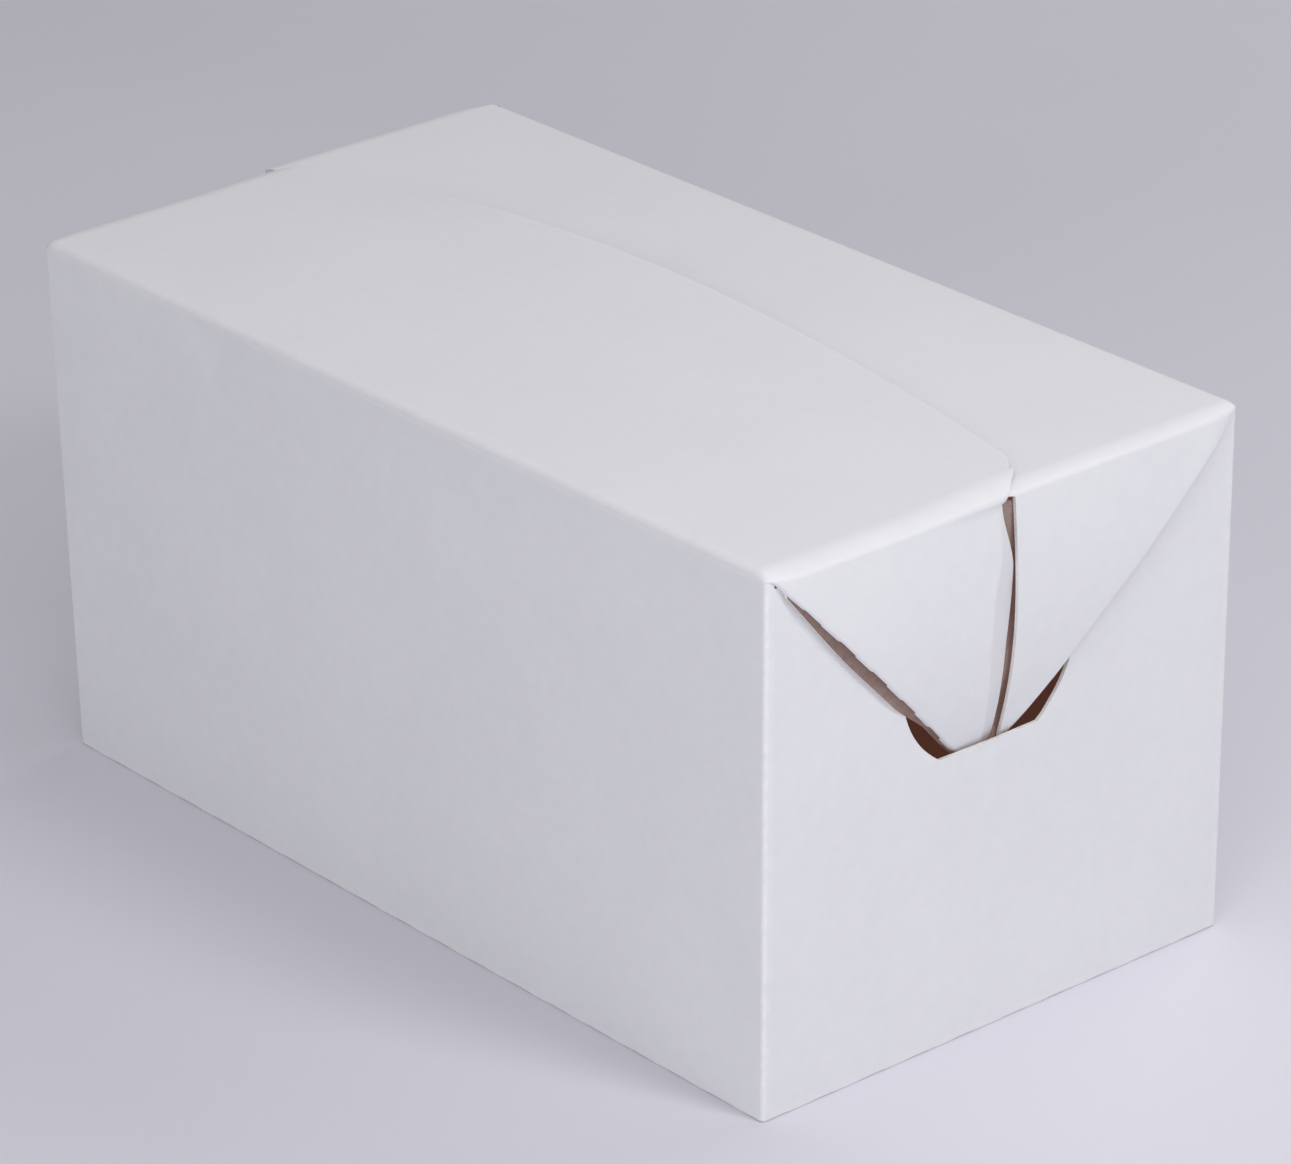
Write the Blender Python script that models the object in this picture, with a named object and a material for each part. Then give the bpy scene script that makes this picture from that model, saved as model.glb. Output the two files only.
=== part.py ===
"""Folding gift carton of thin board, closed.

Every panel between two creases is its own sheet of board. Four walls make the tube, four
flaps make the locking base, and two lid panels close the top. At each end a half ear hangs
from each lid and a triangular gusset hangs from the end wall, behind the two half ears.

Metres, +Z up. +X runs along the box, -Y is the front, and the origin is the middle of the
underside. Moving panels have their origin on the crease that they turn about.
"""

import math

import bmesh
import bpy
from mathutils import Matrix, Vector

# Driving sizes.
LENGTH = 0.1186
WIDTH = 0.0630
HEIGHT = 0.0600
BOARD = 0.0004
PLY_GAP = 0.0002
FOLD_GAP = 0.0003

# Front lid: its free edge is an arc that ends in a 45 degree corner cut at each end.
LID_ARC_END = 0.557 * WIDTH
LID_ARC_PEAK = 0.662 * WIDTH
LID_CORNER_CUT = 0.0042
LID_ARC_STEPS = 20

# Ears and gussets: right-angled halves, cut off level with the lower edge of the slot.
EAR_DEPTH = 0.0270
EAR_CORNER = 0.0005
GUSSET_CORNER = 0.0008

# Mouth-shaped slot that takes the tip of the ears.
SLOT_SHIFT = -0.0021
SLOT_FLOOR_HALF = 0.0066
SLOT_TOP_HALF = 0.0117
SLOT_FLOOR_DEPTH = 0.0272
SLOT_TOP_DEPTH = 0.0170
SLOT_SIDE_STEPS = 5
CUTTER_DEPTH = 0.0040

# Base: the front flap's tongue goes up through the back flap's notch.
FRONT_FLAP_EDGE = -0.0040
TONGUE_HALF = 0.0210
TONGUE_RAMP_END = 0.0050
TONGUE_TIP = 0.0140
TONGUE_TIP_CUT = 0.0040
BACK_FLAP_EDGE = -0.0140
NOTCH_HALF = 0.0250
NOTCH_FLOOR = 0.0060
END_FLAP_REACH = 0.0260
END_FLAP_TIP_HALF = 0.0180
FLAP_RELIEF = 0.0015

# Glue seam.
SEAM_WIDTH = 0.0130
SEAM_BOTTOM = 0.0035
SEAM_TOP = 0.0560
SEAM_CUT = 0.0040

# Sizes that follow from those.
PLY = BOARD + PLY_GAP
END_FACE = LENGTH / 2 - 3 * PLY
FRONT_LID_UNDER = HEIGHT - BOARD
BACK_LID_UNDER = FRONT_LID_UNDER - PLY
GUSSET_CREASE = BACK_LID_UNDER - PLY
INNER_X = END_FACE - BOARD - FOLD_GAP
INNER_Y = WIDTH / 2 - BOARD - FOLD_GAP

WHITE_OUTSIDE = (0.78, 0.78, 0.80)
KRAFT_INSIDE = (0.30, 0.21, 0.16)
BOARD_ROUGHNESS = 0.55

X_AXIS = Vector((1, 0, 0))
Y_AXIS = Vector((0, 1, 0))
Z_AXIS = Vector((0, 0, 1))


def clear_scene():
    for obj in list(bpy.data.objects):
        bpy.data.objects.remove(obj, do_unlink=True)


def new_collection(name):
    collection = bpy.data.collections.new(name)
    bpy.context.scene.collection.children.link(collection)
    return collection


def board_material(node, colour):
    material = bpy.data.materials.new(node + "_board")
    material.use_nodes = True
    shader = material.node_tree.nodes["Principled BSDF"]
    shader.inputs["Base Color"].default_value = (*colour, 1.0)
    shader.inputs["Roughness"].default_value = BOARD_ROUGHNESS
    shader.inputs["Metallic"].default_value = 0.0
    return material


def flat_mesh(name, outline, thickness):
    """The outline filled in and given a thickness, centred on its own plane."""
    curve = bpy.data.curves.new(name, "CURVE")
    curve.dimensions = "2D"
    curve.fill_mode = "BOTH"
    curve.extrude = thickness / 2
    spline = curve.splines.new("POLY")
    spline.points.add(len(outline) - 1)
    for point, (across, along) in zip(spline.points, outline):
        point.co = (across, along, 0, 1)
    spline.use_cyclic_u = True
    drawing = bpy.data.objects.new(name, curve)
    bpy.context.scene.collection.objects.link(drawing)
    graph = bpy.context.evaluated_depsgraph_get()
    mesh = bpy.data.meshes.new_from_object(drawing.evaluated_get(graph))
    bpy.data.objects.remove(drawing)

    cleaned = bmesh.new()
    cleaned.from_mesh(mesh)
    bmesh.ops.remove_doubles(cleaned, verts=cleaned.verts, dist=1e-6)
    bmesh.ops.dissolve_limit(
        cleaned, angle_limit=math.radians(0.1), verts=cleaned.verts, edges=cleaned.edges
    )
    bmesh.ops.recalc_face_normals(cleaned, faces=cleaned.faces)
    cleaned.to_mesh(mesh)
    cleaned.free()
    return mesh


def sheet(name, outline, origin, across, along, side, colour, collection):
    """A sheet of board. The outline lies in the plane through origin that across and along
    span, and the board is on the side of that plane that across x along points to (side 1)
    or on the other (side -1)."""
    mesh = flat_mesh(name, outline, BOARD)
    mesh.transform(Matrix.Translation((0, 0, side * BOARD / 2)))
    obj = bpy.data.objects.new(name, mesh)
    axes = Matrix((across, along, across.cross(along))).transposed()
    obj.matrix_world = Matrix.Translation(origin) @ axes.to_4x4()
    mesh.materials.append(board_material(name, colour))
    collection.objects.link(obj)
    return obj


def rectangle(low_across, high_across, low_along, high_along):
    return [
        (low_across, low_along),
        (high_across, low_along),
        (high_across, high_along),
        (low_across, high_along),
    ]


def hang(child, parent):
    """Parents a panel to the one that carries it, and leaves it where it is."""
    bpy.context.view_layer.update()
    child.parent = parent
    child.matrix_parent_inverse = parent.matrix_world.inverted()


def make_long_walls(collection):
    for name, turn, top in (
        ("front_wall", 1, FRONT_LID_UNDER),
        ("back_wall", -1, BACK_LID_UNDER),
    ):
        outline = rectangle(-END_FACE, END_FACE, 0, top - FOLD_GAP)
        origin = Vector((0, -turn * WIDTH / 2, 0))
        sheet(name, outline, origin, turn * X_AXIS, Z_AXIS, -1, WHITE_OUTSIDE, collection)


def slot_outline(end):
    """The slot from its floor up one curved side, along its top and down the other side."""
    floor = HEIGHT - SLOT_FLOOR_DEPTH
    top = HEIGHT - SLOT_TOP_DEPTH
    bulge = Vector((SLOT_TOP_HALF, (2 * floor + top) / 3))
    corner = Vector((SLOT_FLOOR_HALF, floor))
    crown = Vector((SLOT_TOP_HALF, top))
    side = []
    for step in range(SLOT_SIDE_STEPS + 1):
        t = step / SLOT_SIDE_STEPS
        side.append((1 - t) ** 2 * corner + 2 * t * (1 - t) * bulge + t**2 * crown)
    middle = end * SLOT_SHIFT
    right = [(middle + point.x, point.y) for point in side]
    left = [(middle - point.x, point.y) for point in reversed(side)]
    return right + left


def make_end_walls(collection, cutters):
    for name, end in (("left_end_wall", -1), ("right_end_wall", 1)):
        outline = rectangle(-INNER_Y, INNER_Y, 0, BACK_LID_UNDER - FOLD_GAP)
        origin = Vector((end * END_FACE, 0, 0))
        wall = sheet(name, outline, origin, end * Y_AXIS, Z_AXIS, -1, WHITE_OUTSIDE, collection)
        cutter = bpy.data.objects.new(
            name + "_slot_cutter", flat_mesh(name + "_slot", slot_outline(end), CUTTER_DEPTH)
        )
        cutter.matrix_world = wall.matrix_world
        cutter.hide_render = True
        cutter.display_type = "WIRE"
        cutters.objects.link(cutter)
        slot = wall.modifiers.new("slot", "BOOLEAN")
        slot.operation = "DIFFERENCE"
        slot.object = cutter


def front_lid_outline():
    half = LENGTH / 2
    arc_half = half - LID_CORNER_CUT
    rise = LID_ARC_PEAK - LID_ARC_END
    radius = (arc_half**2 + rise**2) / (2 * rise)
    swing = math.asin(arc_half / radius)
    centre = LID_ARC_PEAK - radius
    arc = []
    for step in range(LID_ARC_STEPS + 1):
        angle = swing * (1 - 2 * step / LID_ARC_STEPS)
        arc.append((radius * math.sin(angle), centre + radius * math.cos(angle)))
    return [(-half, 0), (half, 0), (half, WIDTH / 2)] + arc + [(-half, WIDTH / 2)]


def make_lids(collection):
    front = sheet(
        "front_lid",
        front_lid_outline(),
        Vector((0, -WIDTH / 2, FRONT_LID_UNDER)),
        X_AXIS,
        Y_AXIS,
        1,
        WHITE_OUTSIDE,
        collection,
    )
    half = LENGTH / 2 - PLY
    back = sheet(
        "back_lid",
        rectangle(-half, half, 0, WIDTH / 2 - FOLD_GAP / 2),
        Vector((0, WIDTH / 2, BACK_LID_UNDER)),
        -X_AXIS,
        -Y_AXIS,
        1,
        WHITE_OUTSIDE,
        collection,
    )
    return front, back


def make_ears(front_lid, back_lid, collection):
    """A half ear under each end of each lid. It hinges at its outer face, so the lid covers
    its upper edge, and the front half swings clear outside the back half."""
    corner = WIDTH / 2 - EAR_CORNER
    tip = WIDTH / 2 - EAR_DEPTH
    middle = FOLD_GAP / 2
    for side_name, end in (("left", -1), ("right", 1)):
        for lid, row, reach, crease in (
            (front_lid, -1, LENGTH / 2, FRONT_LID_UNDER),
            (back_lid, 1, LENGTH / 2 - PLY, BACK_LID_UNDER),
        ):
            turn = row * end
            outline = [
                (turn * corner, -FOLD_GAP),
                (turn * middle, -FOLD_GAP),
                (turn * middle, -EAR_DEPTH),
                (turn * tip, -EAR_DEPTH),
            ]
            name = ("front_" if row < 0 else "back_") + side_name + "_ear"
            origin = Vector((end * reach, 0, crease))
            ear = sheet(name, outline, origin, end * Y_AXIS, Z_AXIS, -1, WHITE_OUTSIDE, collection)
            hang(ear, lid)


def make_gussets(collection):
    top = WIDTH / 2 - GUSSET_CORNER
    tip = WIDTH / 2 - EAR_DEPTH
    low = GUSSET_CREASE - HEIGHT + EAR_DEPTH
    outline = [(-top, -FOLD_GAP), (top, -FOLD_GAP), (tip, -low), (-tip, -low)]
    for name, end in (("left_gusset", -1), ("right_gusset", 1)):
        origin = Vector((end * (END_FACE + PLY), 0, GUSSET_CREASE))
        sheet(name, outline, origin, end * Y_AXIS, Z_AXIS, -1, KRAFT_INSIDE, collection)


def raise_tongue(flap):
    """Bends the tongue up a ramp, so that its tip lies on the back flap."""
    start = FRONT_FLAP_EDGE + INNER_Y
    finish = TONGUE_RAMP_END + INNER_Y
    bent = bmesh.new()
    bent.from_mesh(flap.data)
    for bend in (start, finish):
        bmesh.ops.bisect_plane(
            bent,
            geom=bent.verts[:] + bent.edges[:] + bent.faces[:],
            dist=1e-7,
            plane_co=(0, bend, 0),
            plane_no=(0, 1, 0),
        )
    for vertex in bent.verts:
        share = (vertex.co.y - start) / (finish - start)
        vertex.co.z += 3 * PLY * min(max(share, 0.0), 1.0)
    bent.to_mesh(flap.data)
    bent.free()


def make_base(collection):
    """Three plies: the front flap below, the end flaps above it, the back flap on top."""
    wide = INNER_X - FLAP_RELIEF
    edge = FRONT_FLAP_EDGE + INNER_Y
    tip = TONGUE_TIP + INNER_Y
    right = [
        (INNER_X, 0),
        (wide, edge),
        (TONGUE_HALF, edge),
        (TONGUE_HALF, tip - TONGUE_TIP_CUT),
        (TONGUE_HALF - TONGUE_TIP_CUT, tip),
    ]
    outline = right + [(-across, along) for across, along in reversed(right)]
    origin = Vector((0, -INNER_Y, 0))
    flap = sheet("front_base_flap", outline, origin, X_AXIS, Y_AXIS, 1, KRAFT_INSIDE, collection)
    raise_tongue(flap)

    edge = INNER_Y - BACK_FLAP_EDGE
    notch = INNER_Y - NOTCH_FLOOR
    right = [(INNER_X, 0), (wide, edge), (NOTCH_HALF, edge), (NOTCH_HALF, notch)]
    outline = right + [(-across, along) for across, along in reversed(right)]
    origin = Vector((0, INNER_Y, 2 * PLY))
    sheet("back_base_flap", outline, origin, -X_AXIS, -Y_AXIS, 1, KRAFT_INSIDE, collection)

    outline = [
        (-INNER_Y, 0),
        (INNER_Y, 0),
        (END_FLAP_TIP_HALF, END_FLAP_REACH),
        (-END_FLAP_TIP_HALF, END_FLAP_REACH),
    ]
    for name, end in (("left_base_flap", -1), ("right_base_flap", 1)):
        origin = Vector((end * INNER_X, 0, PLY))
        sheet(name, outline, origin, end * Y_AXIS, -end * X_AXIS, 1, KRAFT_INSIDE, collection)


def make_seam_flap(collection):
    """Runs on from the back wall and is glued to the inside of the left end wall."""
    free_edge = INNER_Y - SEAM_WIDTH
    outline = [
        (INNER_Y, SEAM_BOTTOM),
        (INNER_Y, SEAM_TOP),
        (free_edge, SEAM_TOP - SEAM_CUT),
        (free_edge, SEAM_BOTTOM + SEAM_CUT),
    ]
    origin = Vector((-(END_FACE - BOARD - PLY_GAP), 0, 0))
    sheet("glue_seam_flap", outline, origin, Y_AXIS, Z_AXIS, 1, KRAFT_INSIDE, collection)


def main():
    clear_scene()
    carton = new_collection("folding_gift_carton")
    cutters = new_collection("cutters")
    make_long_walls(carton)
    make_end_walls(carton, cutters)
    front_lid, back_lid = make_lids(carton)
    make_ears(front_lid, back_lid, carton)
    make_gussets(carton)
    make_base(carton)
    make_seam_flap(carton)
    bpy.context.view_layer.update()


main()
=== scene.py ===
"""Closed folding gift carton of thin white board on a plain pale floor.

Every panel of the carton is its own sheet: a grid of points on one face, made 0.4 mm thick.
Walls own the rolled vertical corners and the bottom folds, lids own the rolled long creases,
and each ear owns the rounded end of its lid. Metres, +X along the carton, -Y its front.
"""

import math
from collections import namedtuple

import bmesh
import bpy
from mathutils import Matrix, Vector, noise
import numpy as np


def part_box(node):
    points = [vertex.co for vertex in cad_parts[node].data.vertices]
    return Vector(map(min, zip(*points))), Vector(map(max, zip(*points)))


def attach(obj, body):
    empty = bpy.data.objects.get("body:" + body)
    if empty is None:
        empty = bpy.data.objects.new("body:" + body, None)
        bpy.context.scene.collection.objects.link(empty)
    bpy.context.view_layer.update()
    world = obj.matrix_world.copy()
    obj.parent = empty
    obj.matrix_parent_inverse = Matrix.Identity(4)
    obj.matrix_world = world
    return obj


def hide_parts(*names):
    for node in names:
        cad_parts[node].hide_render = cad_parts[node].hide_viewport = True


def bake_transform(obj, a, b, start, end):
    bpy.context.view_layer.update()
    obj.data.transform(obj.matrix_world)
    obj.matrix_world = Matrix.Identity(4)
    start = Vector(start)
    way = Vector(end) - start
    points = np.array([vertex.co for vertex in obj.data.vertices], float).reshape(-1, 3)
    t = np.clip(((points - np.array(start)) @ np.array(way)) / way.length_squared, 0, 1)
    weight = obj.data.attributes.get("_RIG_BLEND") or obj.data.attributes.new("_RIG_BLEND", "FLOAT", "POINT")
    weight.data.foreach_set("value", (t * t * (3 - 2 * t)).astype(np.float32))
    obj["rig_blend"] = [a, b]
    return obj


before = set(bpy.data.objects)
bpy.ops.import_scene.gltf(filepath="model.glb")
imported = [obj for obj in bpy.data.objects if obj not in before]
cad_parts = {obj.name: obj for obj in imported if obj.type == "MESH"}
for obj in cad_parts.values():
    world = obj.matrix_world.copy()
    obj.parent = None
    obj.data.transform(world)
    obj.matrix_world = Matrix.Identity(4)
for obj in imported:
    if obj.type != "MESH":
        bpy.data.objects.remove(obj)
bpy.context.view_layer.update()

MM = 0.001

# Gaps that keep sheets apart: at a crease of the model, and between sheets that lie together.
CREASE_GAP = 0.3 * MM
CLEARANCE = 0.05 * MM

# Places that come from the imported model, and how far the photographed board stands off them.
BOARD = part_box("front_lid")[1].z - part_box("front_lid")[0].z
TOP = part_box("front_lid")[1].z
HALF_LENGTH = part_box("front_lid")[1].x
BACK_HALF_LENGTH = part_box("back_lid")[1].x
HALF_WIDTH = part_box("back_wall")[1].y
GUSSET_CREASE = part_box("right_gusset")[1].z + CREASE_GAP
SLOT_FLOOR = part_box("right_gusset")[0].z
WALL_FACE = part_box("right_end_wall")[1].x + CREASE_GAP
FLARE = 1.3 * MM
FRONT_EAR_FACE = HALF_LENGTH + 0.8 * MM
BACK_EAR_FACE = BACK_HALF_LENGTH + 1.3 * MM
LEFT_BACK_EAR_FACE = BACK_EAR_FACE + 1.2 * MM
BACK_LID_TOP = TOP - 0.1 * MM
END_FLAP_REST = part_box("right_base_flap")[0].z
BACK_FLAP_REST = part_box("back_base_flap")[0].z
TONGUE_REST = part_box("front_base_flap")[1].z - BOARD
SEAM_LOW, SEAM_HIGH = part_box("glue_seam_flap")

# Folds, as radii of the outer face.
CORNER_ROLL = 0.55 * MM
BOTTOM_ROLL = 0.32 * MM
LID_ROLL = 0.95 * MM
DIAGONAL_ROLL = 0.45 * MM
GUSSET_ROLL = 0.45 * MM
SOFT_ROLL = 5.0 * MM
END_ROLL = 0.7 * MM
CORNER_LAP = 0.5 * MM
CORNER_TURNS = (15, 30, 45, 60, 75, 90)

# How far the flat panels are from flat, and the size of their waves.
WALL_SWELL = 0.30 * MM
WALL_WAVE = 0.25 * MM
WALL_WAVE_SIZE = 38 * MM
END_WAVE = 0.18 * MM
END_WAVE_SIZE = 30 * MM
LID_WAVE = 0.25 * MM
LID_WAVE_SIZE = 34 * MM
FRONT_FLAP_WAVE_SIZE = 30 * MM
BACK_FLAP_WAVE = 0.08 * MM
BACK_FLAP_WAVE_SIZE = 26 * MM
END_FLAP_WAVE = 0.06 * MM
END_FLAP_WAVE_SIZE = 24 * MM
WALL_STEP = 1.25 * MM
FLAP_STEP = 1.4 * MM

# Shallow triangular dent in the front wall.
DENT_DEPTH = 0.22 * MM
DENT_PLACE = -28 * MM
DENT_HALF = 7.5 * MM
DENT_DROP = 10 * MM

# The rule that folds the bottom and the diagonals cuts and creases by turns.
CUT_PITCH = 6.35 * MM
CUT_EASE = 0.10 * MM
CREASED_SHARE = 0.5
CUT_FOLD_SHARE = 0.45
LONG_RULE_SHIFT = 1.1 * MM
END_RULE_SHIFT = -0.6 * MM

# Front lid outline, measured from its crease.
ARC_END = 0.557 * 2 * HALF_WIDTH
ARC_PEAK = 0.662 * 2 * HALF_WIDTH
CORNER_CUT = 4.2 * MM
LID_RISE = 0.6 * MM
LEFT_LID_RISE = 0.2 * MM
LID_LIFT = 0.9 * MM
LID_LIFT_AT = -17.8 * MM
LID_LIFT_SPREAD = 30 * MM

# Ears: their diagonals meet under the slot, a little nearer the front.
APEX_Y = -3.3 * MM
APEX_DEPTH = 31.1 * MM
DIAGONAL_TOP = 0.8 * MM
DIAGONAL_DROP = 0.72
EAR_CORNER = 0.4 * MM
TUCK_START = SLOT_FLOOR + 9.0 * MM
TUCK_END = SLOT_FLOOR
TUCK_TIP = SLOT_FLOOR - 2.0 * MM
TUCKED_FACE = WALL_FACE + CLEARANCE
TUCK_BEND = 2.8
FRONT_EAR_FREE = -1.8 * MM
BACK_EAR_FREE = 0.0 * MM
FRONT_EAR_BOW = 0.8 * MM
BACK_EAR_BOW = 0.75 * MM
BACK_LID_LAP = 1.5 * MM
LEFT_LID_LAP = 0.3 * MM
STRIP_SLOPE = math.tan(math.radians(17))
EAR_TAPER = 4 * MM
EAR_CORNER_FACE = WALL_FACE + FLARE + 0.25 * MM
BACK_TIP_BLUNT = 1.1 * MM
CUT_RELIEF = 0.3
FOLD_STEPS = 6

# Mouth-shaped slot.
SLOT_CENTRE = -2.1 * MM
SLOT_FLOOR_HALF = 6.6 * MM
SLOT_TOP_HALF = 11.7 * MM
SLOT_TOP = TOP - 17.0 * MM
SLOT_SIDE_STEPS = 12
SLOT_BULGE = 0.30 * MM
SLOT_BULGE_HALF = 14 * MM
RIDGE_HEIGHT = 0.10 * MM
RIDGE_HALF = 0.9 * MM

# Gussets.
# Width of brown gusset left showing beyond the front ear's diagonal, as a painted shadow of the standing-off
# ear.
GUSSET_SHADOW_BAND = 1.2 * MM
GUSSET_FRONT_CORNER = 2.2 * MM
GUSSET_BACK_CORNER = 2.6 * MM

# Base flaps.
FRONT_FLAP_EDGE = -4.0 * MM
TONGUE_HALF = 21.0 * MM
TONGUE_RAMP_END = 5.0 * MM
TONGUE_TIP = 14.0 * MM
TONGUE_TIP_CUT = 4 * MM
FLAP_RELIEF = 1.5 * MM
FLAP_SAG = 0.10 * MM
BACK_FLAP_EDGE = -14.0 * MM
NOTCH_HALF = 25.0 * MM
NOTCH_FLOOR = 6.0 * MM
END_FLAP_REACH = 26.0 * MM
END_FLAP_TIP_HALF = 18.0 * MM
SEAM_CUT = 4 * MM

# Camera.
VIEW_AZIMUTH = math.radians(50.22)
VIEW_ELEVATION = math.radians(24.54)
VIEW_ROLL = math.radians(1.05)
VIEW_DISTANCE = 0.661
VIEW_TARGET = Vector((0.0016, 0.0015, 0.0297))
VIEW_LENS = 173.7

WHITE_FACE = (0.80, 0.80, 0.82)
WHITE_SHADE = (0.755, 0.755, 0.785)
CRACKED_AND_HIGHLIT_FACE = (0.88, 0.88, 0.89)
# The kraft colours are darkened about a fifth below the board's brown, as painted shade in the gap between
# the half ears.
KRAFT_FACE = (0.235, 0.180, 0.165)
KRAFT_FIBRE = (0.315, 0.260, 0.240)
CORE_FACE = (0.80, 0.79, 0.78)
CORE_DARK = (0.68, 0.66, 0.65)
FLOOR_TINT = (0.735, 0.725, 0.79)
INNER_GLOW = (1.0, 0.40, 0.27)
KRAFT_CLOUD = (0.24, 0.17, 0.13)
KRAFT_FLECK = (0.14, 0.09, 0.07)
WORLD_TINT = (0.955, 0.955, 1.0)
WORLD_STRENGTH = 0.40
FLOOR_HALF = 6.0


# ---------------------------------------------------------------- numbers


def smooth(low, high, value):
    """0 before low, 1 after high, and an even S between them."""
    share = min(max((value - low) / (high - low), 0.0), 1.0)
    return share * share * (3 - 2 * share)


def mix(low, high, share):
    return low + (high - low) * share


def hump(low, high, value):
    """0 at low and high, 1 midway, and 0 outside them."""
    share = min(max((value - low) / (high - low), 0.0), 1.0)
    return math.sin(math.pi * share)


def ripple(point, size):
    """Smooth noise between -1 and 1 whose waves are about size long."""
    return noise.noise(Vector(point) / size)


def near(distance, width):
    """1 at an edge or crease, fading to 0 at width away from it."""
    return max(0.0, 1 - abs(distance) / width)


def stations(low, high, step, extra=(), fine=()):
    """Even positions from low to high, with extra ones, and finer rows by the ends in fine."""
    count = max(1, round((high - low) / step))
    places = [mix(low, high, index / count) for index in range(count + 1)]
    places += [place for place in extra if low < place < high]
    for end in fine:
        inward = 1 if end < (low + high) / 2 else -1
        places += [end + inward * gap * MM for gap in (0.06, 0.2, 0.5)]
    places.sort()
    kept = [places[0]]
    for place in places[1:]:
        if place - kept[-1] > 0.03 * MM:
            kept.append(place)
    kept[-1] = high
    return kept


def cut_marks(half):
    """Positions on both sides of every change between a cut and a crease."""
    count = int(half / CUT_PITCH * 2)
    marks = []
    for index in range(-count, count + 1):
        place = index * CUT_PITCH / 2
        marks += [place - CUT_EASE, place + CUT_EASE]
    return [mark for mark in marks if abs(mark) < half - CUT_EASE]


def crease_share(place):
    """1 on a creased stretch of a cut-and-crease line, and 0 on a cut one."""
    from_middle = abs((place / CUT_PITCH + 0.25) % 1.0 - 0.5) * CUT_PITCH
    reach = CREASED_SHARE * CUT_PITCH / 2
    return 1 - smooth(reach - CUT_EASE, reach + CUT_EASE, from_middle)


# ---------------------------------------------------------------- materials


def noise_texture(tree, coordinates, size, detail=3.0, stretch=(1, 1, 1)):
    """Noise whose blobs are about size across, drawn out by stretch."""
    mapping = tree.nodes.new("ShaderNodeMapping")
    mapping.inputs["Scale"].default_value = [1 / (size * length) for length in stretch]
    texture = tree.nodes.new("ShaderNodeTexNoise")
    texture.inputs["Scale"].default_value = 1.0
    texture.inputs["Detail"].default_value = detail
    tree.links.new(coordinates, mapping.inputs["Vector"])
    tree.links.new(mapping.outputs["Vector"], texture.inputs["Vector"])
    return texture.outputs["Fac"]


def map_range(tree, value, low, high, to_low=0.0, to_high=1.0):
    node = tree.nodes.new("ShaderNodeMapRange")
    for socket, number in zip(("From Min", "From Max", "To Min", "To Max"), (low, high, to_low, to_high)):
        node.inputs[socket].default_value = number
    tree.links.new(value, node.inputs["Value"])
    return node.outputs["Result"]


def multiply(tree, first, second):
    node = tree.nodes.new("ShaderNodeMath")
    node.operation = "MULTIPLY"
    node.use_clamp = True
    tree.links.new(first, node.inputs[0])
    if isinstance(second, (int, float)):
        node.inputs[1].default_value = second
    else:
        tree.links.new(second, node.inputs[1])
    return node.outputs["Value"]


def add(tree, first, second):
    node = tree.nodes.new("ShaderNodeMath")
    node.operation = "ADD"
    tree.links.new(first, node.inputs[0])
    tree.links.new(second, node.inputs[1])
    return node.outputs["Value"]


def colour_mix(tree, share, first, second):
    """first where share is 0 and second where it is 1; each is a colour or a socket."""
    node = tree.nodes.new("ShaderNodeMix")
    node.data_type = "RGBA"
    tree.links.new(share, node.inputs["Factor"])
    sockets = [socket for socket in node.inputs if socket.type == "RGBA"]
    for socket, colour in zip(sockets, (first, second)):
        if isinstance(colour, tuple):
            socket.default_value = (*colour, 1.0)
        else:
            tree.links.new(colour, socket)
    return [socket for socket in node.outputs if socket.type == "RGBA"][0]


def bump(tree, height, distance, strength=1.0, normal=None):
    node = tree.nodes.new("ShaderNodeBump")
    node.inputs["Strength"].default_value = strength
    node.inputs["Distance"].default_value = distance
    tree.links.new(height, node.inputs["Height"])
    if normal is not None:
        tree.links.new(normal, node.inputs["Normal"])
    return node.outputs["Normal"]


def new_material(name):
    material = bpy.data.materials.new(name)
    material.use_nodes = True
    tree = material.node_tree
    shader = tree.nodes["Principled BSDF"]
    coordinates = tree.nodes.new("ShaderNodeTexCoord").outputs["Object"]
    return material, tree, shader, coordinates


def wear_and_highlight_attribute(tree):
    attribute = tree.nodes.new("ShaderNodeAttribute")
    attribute.attribute_name = "wear_and_highlight"
    return attribute.outputs["Fac"]


def white_board_material():
    """Clay-coated face: faint cloudy mottle, fine tooth, and cracked coating along the folds, whitened there
    also as a painted highlight.
    """
    material, tree, shader, place = new_material("coated_white_board")
    cloud = map_range(tree, noise_texture(tree, place, 14 * MM, 2.0), 0.35, 0.65)
    mottle = map_range(tree, noise_texture(tree, place, 1.6 * MM, 4.0), 0.3, 0.7)
    tooth = noise_texture(tree, place, 0.16 * MM, 3.0)
    fibre = noise_texture(tree, place, 0.5 * MM, 5.0, (1, 3, 2))
    shade = multiply(tree, add(tree, multiply(tree, cloud, 0.45), multiply(tree, mottle, 0.55)), 0.75)
    body = colour_mix(tree, shade, WHITE_FACE, WHITE_SHADE)
    # Whiter where the per-point value is high: cracked coating, and a painted highlight on rolled folds and
    # edges.
    cracked_and_highlit = multiply(tree, wear_and_highlight_attribute(tree), map_range(tree, fibre, 0.35, 0.6, 0.25, 1.0))
    tree.links.new(colour_mix(tree, cracked_and_highlit, body, CRACKED_AND_HIGHLIT_FACE), shader.inputs["Base Color"])
    unevenness = add(tree, multiply(tree, mottle, 0.6), multiply(tree, tooth, 0.4))
    gloss = map_range(tree, unevenness, 0.2, 0.9, 0.44, 0.60)
    tree.links.new(gloss, shader.inputs["Roughness"])
    shader.inputs["Specular IOR Level"].default_value = 0.35
    grain = bump(tree, tooth, 0.012 * MM, 0.55)
    pressed = bump(tree, mottle, 0.02 * MM, 0.5, grain)
    tree.links.new(bump(tree, cracked_and_highlit, 0.03 * MM, 0.6, pressed), shader.inputs["Normal"])
    return material


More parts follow.
